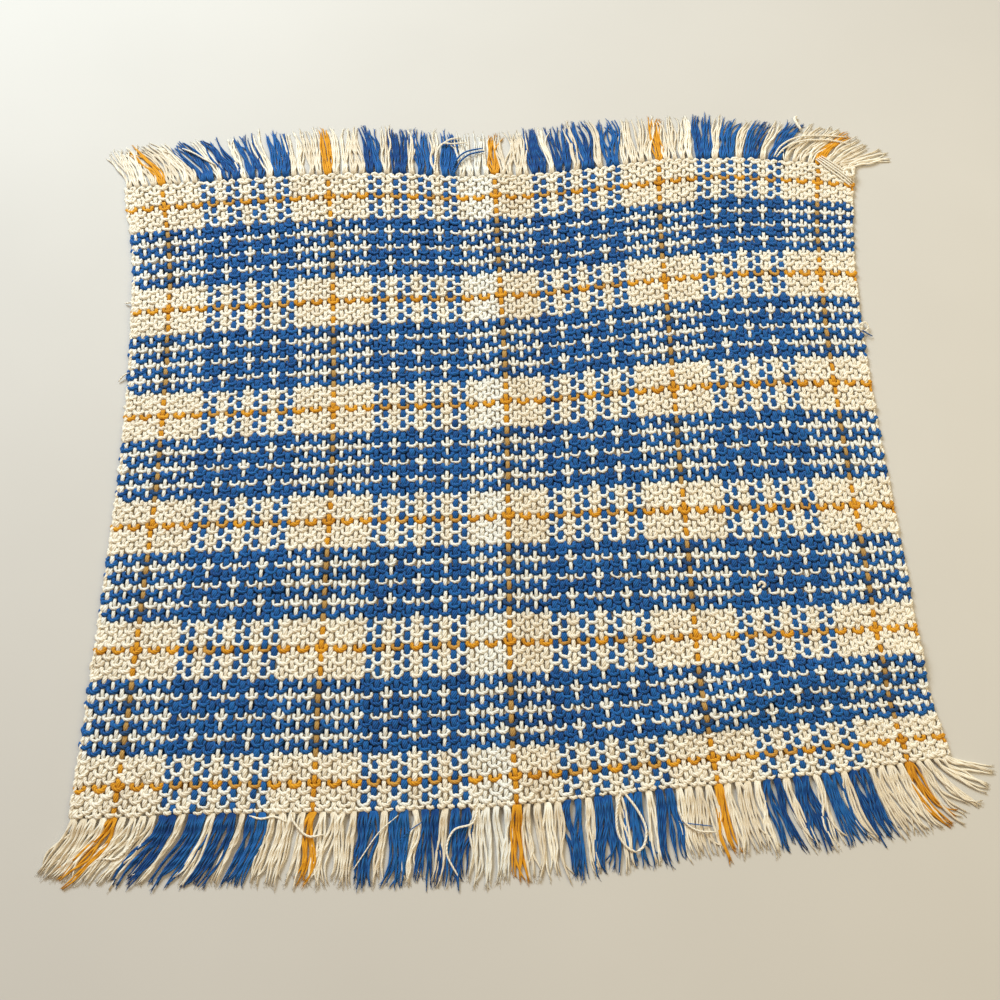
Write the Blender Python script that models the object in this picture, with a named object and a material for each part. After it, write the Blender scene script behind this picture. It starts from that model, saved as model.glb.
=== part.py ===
"""A hand-crocheted plaid throw blanket, lying open on a flat surface.

The throw is a crocheted mesh of 89 columns by 108 rows with yarn woven up and down
through every column. The woven yarn's cut ends hang out of both hems as the fringe.
Three solids stand for it: the cloth, and a fringe at the far and at the near hem.

Places on the cloth are given by column and row, counted from the first gold column
and the first gold row. Metres, +X right, +Y from the near hem to the far one, +Z up.
The origin lies on the surface under the middle of the whole throw.
"""

import math
from collections import namedtuple

import bmesh
import bpy
import numpy as np

MM = 0.001

# The weave: the count of columns and rows beyond the first gold ones, and the spacing
FIRST_COLUMN = -4
LAST_COLUMN = 84
FIRST_ROW = -4
LAST_ROW = 103
HALF_PITCH = 0.5
COLUMN_PITCH = 12.6 * MM
ROW_PITCH = 9.0 * MM
CLOTH_THICKNESS = 5.0 * MM

# The fringe: a narrow strip along the hem and one tapering lock of yarn for each column
HEM_GAP = 0.35 * MM
STRIP_WIDTH = 4.0 * MM
LOCK_ROOT_WIDTH = 10.0 * MM
LOCK_TIP_WIDTH = 4.0 * MM
LOCK_ROOT_THICKNESS = 5.0 * MM
LOCK_TIP_THICKNESS = 2.0 * MM
LOCK_STEPS = 3
LOCK_UNEVENNESS = 3.0 * MM
FAR_SEED = 3
NEAR_SEED = 5

# A lock's shape: how late it bends aside, the share of it that comes down from a raised
# hem, and the least share of its width that a lock lying aslant keeps
LOCK_BEND = 1.5
LOCK_DROP = 0.5
LOCK_LEAN_LIMIT = 0.45

# The grid of the cloth's solid, with closer lines beside the centre crease
CLOTH_COLUMN_STEPS = 38
CLOTH_ROW_STEPS = 34
CREASE_COLUMN = 40.1
CREASE_LINES = (-2.5, -1.3, -0.6, 0.0, 0.6, 1.3, 2.5)
LEAST_LINE_SPACING = 1.0

# How the throw lies, by sections from the far hem to the near one. Millimetres: how far
# the left edge, the middle and the right edge lie to the right of the centre, how far the
# cloth beside the crease is drawn towards it, and how far seven evenly spaced columns lie
# beyond the centre. The crease draws most at its reach, in columns to each side of it,
# and the outer columns are drawn a little closer too.
Section = namedtuple("Section", "row left middle right drawn far_1 far_2 far_3 far_4 far_5 far_6 far_7")
SECTIONS = (
    Section(-4.5, -591, -7, 576, 3.5, 466, 482, 491, 482, 501, 515, 496),
    Section(10, -565, -5, 557, 1, 330, 345, 354, 352, 373, 389, 384),
    Section(30, -554, 0, 545, 0.7, 151, 159, 168, 172, 191, 205, 205),
    Section(50, -551, 0, 545, 3.5, -14, -10, -7, -5, 6, 12, 10),
    Section(70, -555, -3, 550, 4, -185, -184, -184, -182, -181, -182, -176),
    Section(90, -560, -5, 553, 2.5, -359, -362, -365, -362, -356, -346, -341),
    Section(103.5, -566, -1, 567, 1, -480, -477, -479, -476, -461, -448, -429),
)
CREASE_REACH = 12
OUTER_COLUMNS_DRAWN_IN = 6

# Folds: the line that each one follows in columns and rows, its height at the crest and
# how far its flanks spread to each side. The first is the centre crease, where the throw
# was folded in two, and the others are soft waves that fade towards their ends.
Fold = namedtuple("Fold", "from_column from_row to_column to_row height spread sharp")
FOLDS = (
    Fold(CREASE_COLUMN, -90, CREASE_COLUMN, 190, 9 * MM, 36 * MM, True),
    Fold(46, 97, 96, 80, 7 * MM, 55 * MM, False),
    Fold(73.5, 28, 73.5, 84, 3 * MM, 32 * MM, False),
    Fold(54, -9, 72, 5, 5 * MM, 60 * MM, False),
    Fold(-14, 12, 14, 30, 4 * MM, 60 * MM, False),
    Fold(8, 70, 30, 62, 4 * MM, 55 * MM, False),
)
CREASE_POWER = 1.5
FADE_POWER = 4

# The fringe's lean by column, in millimetres from a lock's root to its tip: aside is to
# the right, and out is away from the hem
Lean = namedtuple("Lean", "column aside out")
FAR_LEAN = (
    Lean(-4, -34, 72),
    Lean(0, -52, 72),
    Lean(8, -44, 77),
    Lean(13, -22, 84),
    Lean(20, -12, 88),
    Lean(30, -6, 88),
    Lean(40, -4, 83),
    Lean(50, -12, 90),
    Lean(58, 0, 90),
    Lean(65, 8, 86),
    Lean(70, 26, 74),
    Lean(75, 46, 72),
    Lean(80, 60, 60),
    Lean(84, 68, 22),
)
NEAR_LEAN = (
    Lean(-4, -38, 66),
    Lean(0, -50, 72),
    Lean(6, -48, 80),
    Lean(12, -34, 82),
    Lean(16, -20, 83),
    Lean(24, -8, 86),
    Lean(34, -6, 89),
    Lean(44, 4, 90),
    Lean(56, 8, 86),
    Lean(64, 22, 84),
    Lean(74, 31, 84),
    Lean(79, 45, 80),
    Lean(82, 58, 60),
    Lean(84, 66, 20),
)

BLUE = (0.012, 0.095, 0.36, 1.0)
CREAM = (0.80, 0.72, 0.55, 1.0)
YARN_ROUGHNESS = 0.9


def smooth(stations, values, at):
    """Values at the given places, on a curve through the stations without corners."""
    stations = np.asarray(stations, dtype=float)
    values = np.asarray(values, dtype=float)
    at = np.asarray(at, dtype=float)
    if values.ndim == 1:
        values = values[:, None]
    slopes = np.gradient(values, stations, axis=0)
    before = np.clip(np.searchsorted(stations, at) - 1, 0, len(stations) - 2)
    span = (stations[before + 1] - stations[before])[..., None]
    t = (at - stations[before])[..., None] / span
    from_value = (1 + 2 * t) * (1 - t) ** 2 * values[before]
    from_slope = t * (1 - t) ** 2 * span * slopes[before]
    to_value = t ** 2 * (3 - 2 * t) * values[before + 1]
    to_slope = t ** 2 * (t - 1) * span * slopes[before + 1]
    return from_value + from_slope + to_value + to_slope


def place(column, row):
    """Where a column and a row cross on the surface, to the right and beyond the centre."""
    rows = [section.row for section in SECTIONS]
    edges = smooth(rows, [section[1:4] for section in SECTIONS], [row])[0]
    drawn = smooth(rows, [section.drawn for section in SECTIONS], [row])[0][0]
    lengths = smooth(rows, [section[5:] for section in SECTIONS], [row])[0]
    first = FIRST_COLUMN - HALF_PITCH
    across = (column - first) / (LAST_COLUMN + HALF_PITCH - first)
    right = smooth((0.0, 0.5, 1.0), edges, [across])[0][0]
    right += OUTER_COLUMNS_DRAWN_IN * math.sin(2 * math.pi * (across - 0.5))
    from_crease = (column - CREASE_COLUMN) / CREASE_REACH
    right -= drawn * from_crease * math.exp((1 - from_crease ** 2) / 2)
    beyond = smooth(np.linspace(0.0, 1.0, len(lengths)), lengths, [across])[0][0]
    return right * MM, beyond * MM


def fold_height(fold, column, row):
    """How far one fold lifts the cloth at a place, which is nothing beyond its spread."""
    start = np.array((fold.from_column * COLUMN_PITCH, fold.from_row * ROW_PITCH))
    end = np.array((fold.to_column * COLUMN_PITCH, fold.to_row * ROW_PITCH))
    point = np.array((column * COLUMN_PITCH, row * ROW_PITCH))
    line = end - start
    along = float(np.dot(point - start, line) / np.dot(line, line))
    if not 0.0 < along < 1.0:
        return 0.0
    aside = float(np.linalg.norm(point - start - along * line)) / fold.spread
    if aside >= 1.0:
        return 0.0
    fade = 1.0 - (2.0 * along - 1.0) ** FADE_POWER
    if fold.sharp:
        return fold.height * fade * (1.0 - aside) ** CREASE_POWER
    return fold.height * fade * 0.5 * (1.0 + math.cos(math.pi * aside))


def height(column, row):
    """How far the cloth's underside is off the surface."""
    return sum(fold_height(fold, column, row) for fold in FOLDS)


def principled(name, colour):
    """A matt yarn material of one colour."""
    material = bpy.data.materials.new(name)
    material.use_nodes = True
    shader = material.node_tree.nodes["Principled BSDF"]
    shader.inputs["Base Color"].default_value = colour
    shader.inputs["Roughness"].default_value = YARN_ROUGHNESS
    return material


def grid(columns, rows):
    """An open grid with a line for each column and each row, the first row farthest."""
    mesh = bmesh.new()
    mesh.verts.layers.float.new("thickness")
    bmesh.ops.create_grid(mesh, x_segments=len(columns) - 1, y_segments=len(rows) - 1, size=0.5)
    points = {}
    for vert in mesh.verts:
        i = round((vert.co.x + 0.5) * (len(columns) - 1))
        j = round((0.5 - vert.co.y) * (len(rows) - 1))
        points[i, j] = vert
    return mesh, points


def thicken(mesh):
    """Raise a copy of an open grid by the thickness at each point and close the sides."""
    thickness = mesh.verts.layers.float["thickness"]
    raised = bmesh.ops.extrude_face_region(mesh, geom=list(mesh.faces), use_keep_orig=True)["geom"]
    for item in raised:
        if isinstance(item, bmesh.types.BMVert):
            item.co.z += item[thickness]
    bmesh.ops.recalc_face_normals(mesh, faces=list(mesh.faces))


def make_piece(name, mesh, material, collection):
    """The object of a finished mesh, in its material."""
    data = bpy.data.meshes.new(name)
    mesh.to_mesh(data)
    mesh.free()
    piece = bpy.data.objects.new(name, data)
    piece.data.materials.append(material)
    collection.objects.link(piece)
    return piece


def make_cloth(material, collection):
    """The crocheted panel: one sheet that follows the outline and the folds."""
    first, last = FIRST_COLUMN - HALF_PITCH, LAST_COLUMN + HALF_PITCH
    crease = [CREASE_COLUMN + line for line in CREASE_LINES]
    even = np.linspace(first, last, CLOTH_COLUMN_STEPS + 1)
    from_crease = LEAST_LINE_SPACING
    even = [c for c in even if c <= crease[0] - from_crease or c >= crease[-1] + from_crease]
    columns = sorted(even + crease)
    rows = np.linspace(FIRST_ROW - HALF_PITCH, LAST_ROW + HALF_PITCH, CLOTH_ROW_STEPS + 1)
    mesh, points = grid(columns, rows)
    thickness = mesh.verts.layers.float["thickness"]
    for (i, j), vert in points.items():
        x, y = place(columns[i], rows[j])
        vert.co = (x, y, height(columns[i], rows[j]))
        vert[thickness] = CLOTH_THICKNESS
    thicken(mesh)
    return make_piece("cloth", mesh, material, collection)


def hem_points(columns, row, outward):
    """The hem at the given columns, and the direction square to it that leads off the cloth."""
    hem = np.array([place(column, row) for column in columns])
    slopes = np.gradient(hem, axis=0)
    squares = np.stack((-slopes[:, 1], slopes[:, 0]), axis=1) * outward
    squares /= np.linalg.norm(squares, axis=1)[:, None]
    return hem, squares


def add_lock(mesh, left, right, aside, out):
    """Draw a lock out of the strip's edge between two points, down to the surface."""
    thickness = mesh.verts.layers.float["thickness"]
    root = (left.co + right.co) / 2
    outward = math.copysign(1.0, out)
    for step in range(1, LOCK_STEPS + 1):
        t = step / LOCK_STEPS
        way = np.array((aside * LOCK_BEND * t ** (LOCK_BEND - 1), out))
        way /= np.linalg.norm(way)
        width = LOCK_ROOT_WIDTH + (LOCK_TIP_WIDTH - LOCK_ROOT_WIDTH) * t
        width *= max(LOCK_LEAN_LIMIT, abs(way[1]))
        middle = np.array((root.x + aside * t ** LOCK_BEND, root.y + out * t))
        across = np.array((way[1], -way[0])) * outward * width / 2
        edge = mesh.edges.get((left, right))
        new = bmesh.ops.extrude_edge_only(mesh, edges=[edge])["geom"]
        ends = [item for item in new if isinstance(item, bmesh.types.BMVert)]
        ends.sort(key=lambda vert: (vert.co - left.co).length)
        for vert, side in zip(ends, (-1, 1)):
            x, y = middle + across * side
            vert.co = (x, y, root.z * max(0.0, 1 - t / LOCK_DROP))
            vert[thickness] = LOCK_ROOT_THICKNESS + (LOCK_TIP_THICKNESS - LOCK_ROOT_THICKNESS) * t
        left, right = ends


def make_fringe(name, row, outward, leans, seed, material, collection):
    """A strip along one hem with a lock of yarn for each column, all lying on the surface."""
    chance = np.random.default_rng(seed)
    centres = np.arange(FIRST_COLUMN, LAST_COLUMN + 1)
    half_root = LOCK_ROOT_WIDTH / COLUMN_PITCH / 2
    columns = np.sort(np.concatenate((centres - half_root, centres + half_root)))
    hem, squares = hem_points(columns, row, outward)
    mesh, points = grid(columns, (0, 1))
    thickness = mesh.verts.layers.float["thickness"]
    outer_line = 0 if outward > 0 else 1
    for (i, j), vert in points.items():
        off_hem = HEM_GAP + (STRIP_WIDTH if j == outer_line else 0.0)
        x, y = hem[i] + squares[i] * off_hem
        vert.co = (x, y, height(columns[i], row))
        vert[thickness] = LOCK_ROOT_THICKNESS
    tips = smooth([lean.column for lean in leans], [lean[1:3] for lean in leans], centres) * MM
    tips += chance.uniform(-LOCK_UNEVENNESS, LOCK_UNEVENNESS, tips.shape)
    for lock, (aside, out) in enumerate(tips):
        left, right = points[2 * lock, outer_line], points[2 * lock + 1, outer_line]
        add_lock(mesh, left, right, aside, outward * out)
    thicken(mesh)
    return make_piece(name, mesh, material, collection)


def centre(pieces):
    """Shift the pieces so that the origin lies under the middle of them all."""
    corners = np.array([vert.co[:] for piece in pieces for vert in piece.data.vertices])
    middle = (corners.min(axis=0) + corners.max(axis=0)) / 2
    for piece in pieces:
        for vert in piece.data.vertices:
            vert.co.x -= middle[0]
            vert.co.y -= middle[1]


def main():
    for item in list(bpy.data.objects):
        bpy.data.objects.remove(item, do_unlink=True)
    collection = bpy.data.collections.new("plaid_throw")
    bpy.context.scene.collection.children.link(collection)
    blue = principled("blue_yarn", BLUE)
    cream = principled("cream_yarn", CREAM)
    cloth = make_cloth(blue, collection)
    far = make_fringe("fringe_far", FIRST_ROW - HALF_PITCH, 1, FAR_LEAN, FAR_SEED, cream, collection)
    near = make_fringe("fringe_near", LAST_ROW + HALF_PITCH, -1, NEAR_LEAN, NEAR_SEED, cream, collection)
    centre((cloth, far, near))


main()
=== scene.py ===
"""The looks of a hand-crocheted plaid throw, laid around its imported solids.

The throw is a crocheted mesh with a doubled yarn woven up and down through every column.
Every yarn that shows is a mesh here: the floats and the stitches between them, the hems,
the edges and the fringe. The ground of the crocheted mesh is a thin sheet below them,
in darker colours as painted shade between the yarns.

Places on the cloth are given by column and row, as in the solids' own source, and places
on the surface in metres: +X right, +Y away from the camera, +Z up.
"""

import math
from collections import namedtuple

import bpy
import numpy as np
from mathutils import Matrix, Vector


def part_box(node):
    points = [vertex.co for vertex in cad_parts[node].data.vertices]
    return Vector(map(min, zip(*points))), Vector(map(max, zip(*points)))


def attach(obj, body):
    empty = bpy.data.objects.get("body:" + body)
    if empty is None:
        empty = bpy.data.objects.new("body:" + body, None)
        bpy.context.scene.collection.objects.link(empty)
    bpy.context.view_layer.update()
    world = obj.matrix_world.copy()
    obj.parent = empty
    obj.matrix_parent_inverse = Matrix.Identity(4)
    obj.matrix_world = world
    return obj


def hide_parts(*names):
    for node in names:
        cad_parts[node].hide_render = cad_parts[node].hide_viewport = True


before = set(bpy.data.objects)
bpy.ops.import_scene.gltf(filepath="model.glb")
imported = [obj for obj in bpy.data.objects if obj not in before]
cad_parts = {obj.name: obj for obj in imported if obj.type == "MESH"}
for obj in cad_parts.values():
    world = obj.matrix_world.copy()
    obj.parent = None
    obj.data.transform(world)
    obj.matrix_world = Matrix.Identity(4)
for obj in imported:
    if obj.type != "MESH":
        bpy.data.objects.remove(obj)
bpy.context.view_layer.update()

MM = 0.001

# The weave, as in the solids
FIRST_COLUMN = -4
LAST_COLUMN = 84
FIRST_ROW = -4
LAST_ROW = 103
HALF_PITCH = 0.5
COLUMN_PITCH = 12.6 * MM
ROW_PITCH = 9.0 * MM
LEFT_EDGE = FIRST_COLUMN - HALF_PITCH
RIGHT_EDGE = LAST_COLUMN + HALF_PITCH
FAR_HEM = FIRST_ROW - HALF_PITCH
NEAR_HEM = LAST_ROW + HALF_PITCH
COLUMNS = np.arange(FIRST_COLUMN, LAST_COLUMN + 1)
ROWS = np.arange(FIRST_ROW, LAST_ROW + 1)

# The plaid, the same for columns and rows: one letter for each of the repeat's 20 yarns,
# which are gold, cream and blue
REPEAT = "gccccbbcbbcbbcbbcccc"

# How the throw lies, as in the solids: sections from the far hem to the near one
CREASE_COLUMN = 40.1
Section = namedtuple("Section", "row left middle right drawn far_1 far_2 far_3 far_4 far_5 far_6 far_7")
SECTIONS = (
    Section(-4.5, -591, -7, 576, 3.5, 466, 482, 491, 482, 501, 515, 496),
    Section(10, -565, -5, 557, 1, 330, 345, 354, 352, 373, 389, 384),
    Section(30, -554, 0, 545, 0.7, 151, 159, 168, 172, 191, 205, 205),
    Section(50, -551, 0, 545, 3.5, -14, -10, -7, -5, 6, 12, 10),
    Section(70, -555, -3, 550, 4, -185, -184, -184, -182, -181, -182, -176),
    Section(90, -560, -5, 553, 2.5, -359, -362, -365, -362, -356, -346, -341),
    Section(103.5, -566, -1, 567, 1, -480, -477, -479, -476, -461, -448, -429),
)
CREASE_REACH = 12
OUTER_COLUMNS_DRAWN_IN = 6

# Folds, as in the solids: the centre crease and the soft waves beside it
Fold = namedtuple("Fold", "from_column from_row to_column to_row height spread sharp")
FOLDS = (
    Fold(CREASE_COLUMN, -90, CREASE_COLUMN, 190, 9 * MM, 36 * MM, True),
    Fold(46, 97, 96, 80, 7 * MM, 55 * MM, False),
    Fold(73.5, 28, 73.5, 84, 3 * MM, 32 * MM, False),
    Fold(54, -9, 72, 5, 5 * MM, 60 * MM, False),
    Fold(-14, 12, 14, 30, 4 * MM, 60 * MM, False),
    Fold(8, 70, 30, 62, 4 * MM, 55 * MM, False),
)
CREASE_POWER = 1.5
FADE_POWER = 4

# The fringe's lean by column, as in the solids, from root to tip in millimetres
Lean = namedtuple("Lean", "column aside out")
FAR_LEAN = (
    Lean(-4, -34, 72),
    Lean(0, -52, 72),
    Lean(8, -44, 77),
    Lean(13, -22, 84),
    Lean(20, -12, 88),
    Lean(30, -6, 88),
    Lean(40, -4, 83),
    Lean(50, -12, 90),
    Lean(58, 0, 90),
    Lean(65, 8, 86),
    Lean(70, 26, 74),
    Lean(75, 46, 72),
    Lean(80, 60, 60),
    Lean(84, 68, 22),
)
NEAR_LEAN = (
    Lean(-4, -38, 66),
    Lean(0, -50, 72),
    Lean(6, -48, 80),
    Lean(12, -34, 82),
    Lean(16, -20, 83),
    Lean(24, -8, 86),
    Lean(34, -6, 89),
    Lean(44, 4, 90),
    Lean(56, 8, 86),
    Lean(64, 22, 84),
    Lean(74, 31, 84),
    Lean(79, 45, 80),
    Lean(82, 58, 60),
    Lean(84, 66, 20),
)
LEAN_BEND = 1.5

# Sections of yarn, across and up, as shares of its half width and half thickness
ROUND_YARN = ((1, 0), (0.31, 0.95), (-0.81, 0.59), (-0.81, -0.59), (0.31, -0.95))
DOUBLE_YARN = ((1, 0), (0.58, 0.9), (0, 0.5), (-0.58, 0.9), (-1, 0), (0, -0.8))
WISP = ((1, 0), (-0.5, 0.87), (-0.5, -0.87))

# One float of a column's doubled yarn over a row, from its far end to its near one: rows
# from the row's middle, and millimetres for the centre's height, half width and half thickness
Ring = namedtuple("Ring", "row lift wide tall")
FLOAT = (
    Ring(-0.74, 2.3, 2.0, 1.0),
    Ring(-0.44, 4.6, 3.1, 1.5),
    Ring(0.04, 5.3, 3.15, 1.7),
    Ring(0.48, 4.8, 3.1, 1.5),
    Ring(0.80, 2.7, 2.0, 1.0),
)
OUTER_FLOAT_SWELL = 1.3

# The left half of one stitch of a row over a column, a hanging arc whose raised end is a
# knob between two columns: columns and rows from the cell's middle, and millimetres
Knot = namedtuple("Knot", "column row lift radius")
STITCH = (
    Knot(-0.50, -0.84, 3.8, 1.9),
    Knot(-0.52, -0.54, 5.2, 2.55),
    Knot(-0.44, -0.15, 5.0, 2.2),
    Knot(-0.23, 0.0, 5.5, 2.4),
    Knot(0.0, 0.06, 5.9, 2.5),
)
STITCH_WIDE = 1.26
STITCH_TALL = 0.88
WOBBLE = 0.45 * MM

# How much thicker a float looks by its colour, and a stitch by the colour it crosses
FLOAT_SWELL = {"g": 1.1, "c": 0.98, "b": 1.3}
STITCH_SWELL = {"g": 1.0, "c": 1.06, "b": 0.88}
CREAM_SWELL_AMONG_BLUE = 0.85

# The row in the middle of the repeat, whose stitches over blue columns are slimmer still
MIDDLE_LINE = 10
MIDDLE_LINE_SWELL = 0.8

# How uneven the work is by hand: random shifts in columns and rows, and random shares of a
# float's or a stitch's size, of its yarn's thickness and of the lumps along it
FLOAT_SWAY = 0.035
FLOAT_TURN = 0.04
FLOAT_SLIDE = 0.03
FLOAT_UNEVEN = 0.06
STITCH_SLIDE = 0.04
STITCH_UNEVEN = 0.07
STITCH_YARN_UNEVEN = 0.06
STITCH_LUMPS = 0.11
BODY_SEED = 11

# The shade of the yarn, from 0, dark, to 1, light, and how much it varies
FLOAT_TONE = 0.6
FLOAT_TONE_UNEVEN = 0.18
STITCH_TONE = 0.62
STITCH_TONE_UNEVEN = 0.2

# How dull a yarn of the first colour looks beside one of the second
DULLED = {"gb": 0.8, "cb": 0.55, "bg": 0.65}
GOLD_STITCH_DULLED = 0.45


def smooth(stations, values, at):
    """Values at the given places, on a curve through the stations without corners."""
    stations = np.asarray(stations, dtype=float)
    values = np.asarray(values, dtype=float)
    at = np.asarray(at, dtype=float)
    slopes = np.gradient(values, stations, axis=0)
    before = np.clip(np.searchsorted(stations, at) - 1, 0, len(stations) - 2)
    span = (stations[before + 1] - stations[before])[..., None]
    t = (at - stations[before])[..., None] / span
    from_value = (1 + 2 * t) * (1 - t) ** 2 * values[before]
    from_slope = t * (1 - t) ** 2 * span * slopes[before]
    to_value = t ** 2 * (3 - 2 * t) * values[before + 1]
    to_slope = t ** 2 * (t - 1) * span * slopes[before + 1]
    return from_value + from_slope + to_value + to_slope


def place(columns, rows):
    """Where columns and rows cross, before the shift that puts the origin in the middle."""
    stations = [section.row for section in SECTIONS]
    edges = smooth(stations, [section[1:4] for section in SECTIONS], rows)
    drawn = smooth(stations, [[section.drawn] for section in SECTIONS], rows)[..., 0]
    lengths = smooth(stations, [section[5:] for section in SECTIONS], rows)
    across = (columns - LEFT_EDGE) / (RIGHT_EDGE - LEFT_EDGE)
    right = (smooth(np.linspace(0, 1, 3), np.eye(3), across) * edges).sum(axis=-1)
    right = right + OUTER_COLUMNS_DRAWN_IN * np.sin(2 * math.pi * (across - 0.5))
    from_crease = (columns - CREASE_COLUMN) / CREASE_REACH
    right = right - drawn * from_crease * np.exp((1 - from_crease ** 2) / 2)
    far_count = lengths.shape[-1]
    beyond = (smooth(np.linspace(0, 1, far_count), np.eye(far_count), across) * lengths).sum(axis=-1)
    return np.stack((right, beyond), axis=-1) * MM


def fold_height(fold, columns, rows):
    """How far one fold lifts the cloth, which is nothing beyond its spread."""
    start = np.array((fold.from_column * COLUMN_PITCH, fold.from_row * ROW_PITCH))
    end = np.array((fold.to_column * COLUMN_PITCH, fold.to_row * ROW_PITCH))
    points = np.stack((columns * COLUMN_PITCH, rows * ROW_PITCH), axis=-1)
    line = end - start
    along = (points - start) @ line / (line @ line)
    nearest = start + along[..., None] * line
    aside = np.linalg.norm(points - nearest, axis=-1) / fold.spread
    touched = (along > 0) & (along < 1) & (aside < 1)
    fade = 1 - (2 * along - 1) ** FADE_POWER
    if fold.sharp:
        lifted = fold.height * fade * (1 - np.minimum(aside, 1)) ** CREASE_POWER
    else:
        lifted = fold.height * fade * 0.5 * (1 + np.cos(math.pi * aside))
    return np.where(touched, lifted, 0.0)


# How finely the solids follow the cloth's outline, so that its middle here is theirs too
OUTLINE_COLUMNS = 39
OUTLINE_ROWS = 35


def middle_of_outline():
    """The middle of the cloth's outline as the formulas give it."""
    across = np.linspace(LEFT_EDGE, RIGHT_EDGE, OUTLINE_COLUMNS)
    down = np.linspace(FAR_HEM, NEAR_HEM, OUTLINE_ROWS)
    columns, rows = np.meshgrid(across, down)
    points = place(columns, rows).reshape(-1, 2)
    return (points.min(axis=0) + points.max(axis=0)) / 2


cloth_low, cloth_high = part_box("cloth")
SHIFT = np.array((cloth_low + cloth_high)[:2]) / 2 - middle_of_outline()


def lay(columns, rows, lift):
    """Points over the given columns and rows, that far above the cloth's underside."""
    columns, rows, lift = np.broadcast_arrays(
        np.asarray(columns, dtype=float), np.asarray(rows, dtype=float), np.asarray(lift, dtype=float)
    )
    ground = place(columns, rows) + SHIFT
    height = lift + sum(fold_height(fold, columns, rows) for fold in FOLDS)
    return np.concatenate((ground, height[..., None]), axis=-1)


def colour_of(numbers):
    """The letters of the plaid's repeat for the given columns or rows."""
    letters = np.array(list(REPEAT))
    return letters[np.mod(numbers, len(REPEAT))]


def in_blue_band(numbers):
    """Whether the given columns or rows lie in the repeat's blue band with its cream lines."""
    step = np.mod(numbers, len(REPEAT))
    return (step >= REPEAT.index("b")) & (step <= REPEAT.rindex("b"))


# Painted light and shade beside the crease: whiter cream on its lit left, darker yarn on its right
CREASE_PAINTED_LIGHT = 0.55
CREASE_SHADE = 0.35
PAINTED_LIGHT_FROM_CREASE = -2.0
SHADED_FROM_CREASE = 3.0
CREASE_PAINTED_SPREAD = 2.4


def crease_painted_light_and_shade(columns):
    """How far the given columns lie in the band of painted light and in that of painted shade."""
    from_crease = columns - CREASE_COLUMN
    painted_lit = np.exp(-((from_crease - PAINTED_LIGHT_FROM_CREASE) / CREASE_PAINTED_SPREAD) ** 2)
    shaded = np.exp(-((from_crease - SHADED_FROM_CREASE) / CREASE_PAINTED_SPREAD) ** 2)
    return np.where(from_crease < 0, painted_lit, 0.0), np.where(from_crease > 0, shaded, 0.0)


# Where a tube lies in its cell of the surface coordinates, as shares of the cell: margins
# beside its unrolled side, and the place and size of the two rings that are its ends
CELL_MARGIN_ALONG = 0.04
CELL_MARGIN_AROUND = 0.05
CELL_END = 0.015
CELL_END_SIZE = (0.01, 0.3)

Tubes = namedtuple("Tubes", "points along around twist shade dull")


def tube_faces(tubes, start):
    """The faces along the tubes and at both ends, where start is their first point."""
    count, length, sides = tubes.points.shape[:3]
    tube, ring, side = np.indices((count, length - 1, sides))
    base = start + (tube * length + ring) * sides
    after = (side + 1) % sides
    quads = np.stack((base + side, base + sides + side, base + sides + after, base + after), axis=-1)
    first = start + np.arange(count)[:, None] * length * sides + np.arange(sides)
    last = first[:, ::-1] + (length - 1) * sides
    return quads.reshape(-1, 4).tolist() + first.tolist() + last.tolist()


def tube_coordinates(tubes, low, high):
    """Two sets of surface coordinates for the corners of the faces.

    The first is in millimetres around and along each yarn. The second gives each tube its
    own cell of the unit square, between the heights low and high.
    """
    count, length, sides = tubes.points.shape[:3]
    cells = max(1, round(math.sqrt(count * tubes.around / tubes.along[:, -1].mean())))
    cell = np.array((1 / cells, (high - low) / math.ceil(count / cells)))
    corner = np.stack((np.arange(count) % cells, np.arange(count) // cells), axis=-1) * cell
    corner[:, 1] += low

    tube, ring, side = np.indices((count, length - 1, sides))
    rings = np.stack((ring, ring + 1, ring + 1, ring), axis=-1)
    turns = np.stack((side, side, side + 1, side + 1), axis=-1) / sides
    owner = np.broadcast_to(tube[..., None], rings.shape)
    along = tubes.along[owner, rings]
    share = along / tubes.along[owner, -1]
    yarn = np.stack((turns * tubes.around, along * tubes.twist), axis=-1) / MM
    in_cell = np.stack((
        CELL_MARGIN_ALONG + (1 - 2 * CELL_MARGIN_ALONG) * share,
        CELL_MARGIN_AROUND + (1 - 2 * CELL_MARGIN_AROUND) * turns,
    ), axis=-1)
    bake = corner[owner] + cell * in_cell

    angle = 2 * math.pi * np.arange(sides) / sides
    circle = np.stack((np.cos(angle), np.sin(angle)), axis=-1) * CELL_END_SIZE * cell
    first = corner[:, None] + cell * (CELL_END, 0.5) + circle
    last = corner[:, None] + cell * (1 - CELL_END, 0.5) + circle[::-1]
    bake = np.concatenate([corners.reshape(-1, 2) for corners in (bake, first, last)])
    yarn = np.concatenate((yarn.reshape(-1, 2), np.zeros((2 * count * sides, 2))))
    return yarn, bake


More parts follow.
